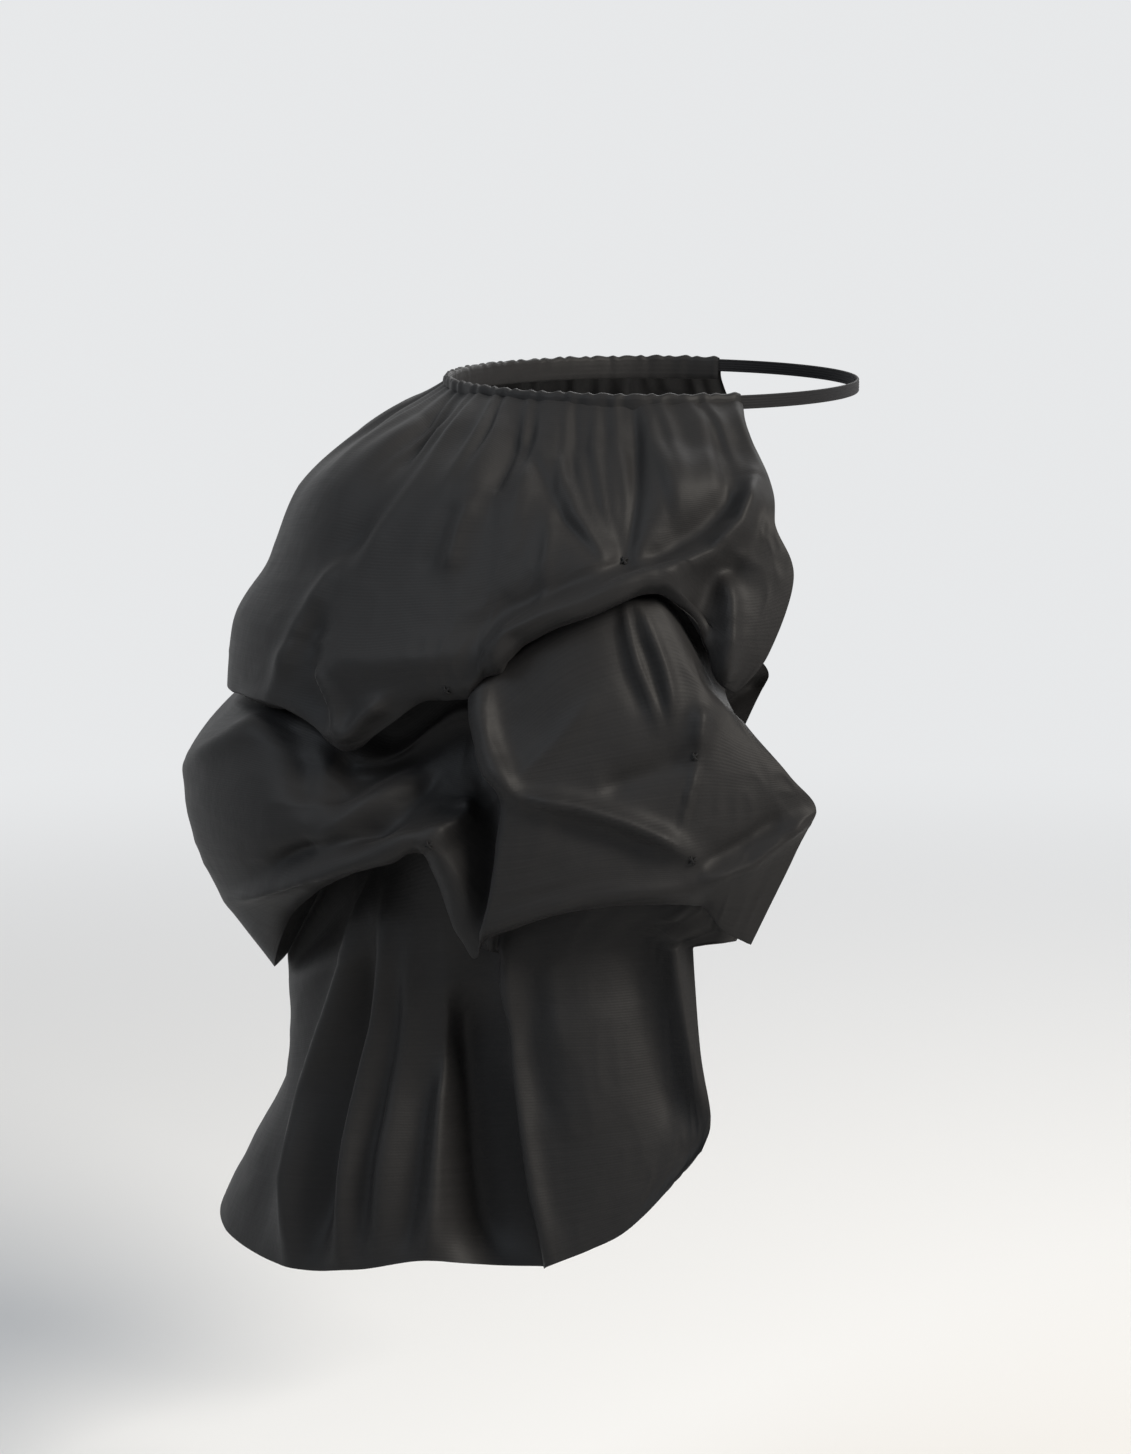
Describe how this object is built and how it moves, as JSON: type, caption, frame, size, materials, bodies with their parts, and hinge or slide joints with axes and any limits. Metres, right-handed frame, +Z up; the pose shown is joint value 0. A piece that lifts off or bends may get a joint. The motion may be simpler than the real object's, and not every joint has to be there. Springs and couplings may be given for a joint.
{
  "type": "bustle",
  "caption": "Draped taffeta bustle: a panel gathered on a narrow elastic waist loop, tacked up into rolled poufs, with a fluted tail and rounded hem.",
  "frame": {"origin": "centre of the waist loop, at the middle of the elastic's height", "axes": "+Z up along the wearer's body, +Y to the wearer's front, +X to the wearer's right"},
  "size_m": [0.4166, 0.3312, 0.4147],
  "materials": {
    "taffeta": "black taffeta with a soft sheen",
    "casing_taffeta": "black taffeta, gathered",
    "elastic": "braided black elastic, matt",
    "thread": "dark sewing thread"
  },
  "bodies": {
    "root": {"draped_panel": "taffeta", "waist_casing": "casing_taffeta", "waist_elastic": "elastic", "tack_stitches": "thread"}
  },
  "joints": []
}
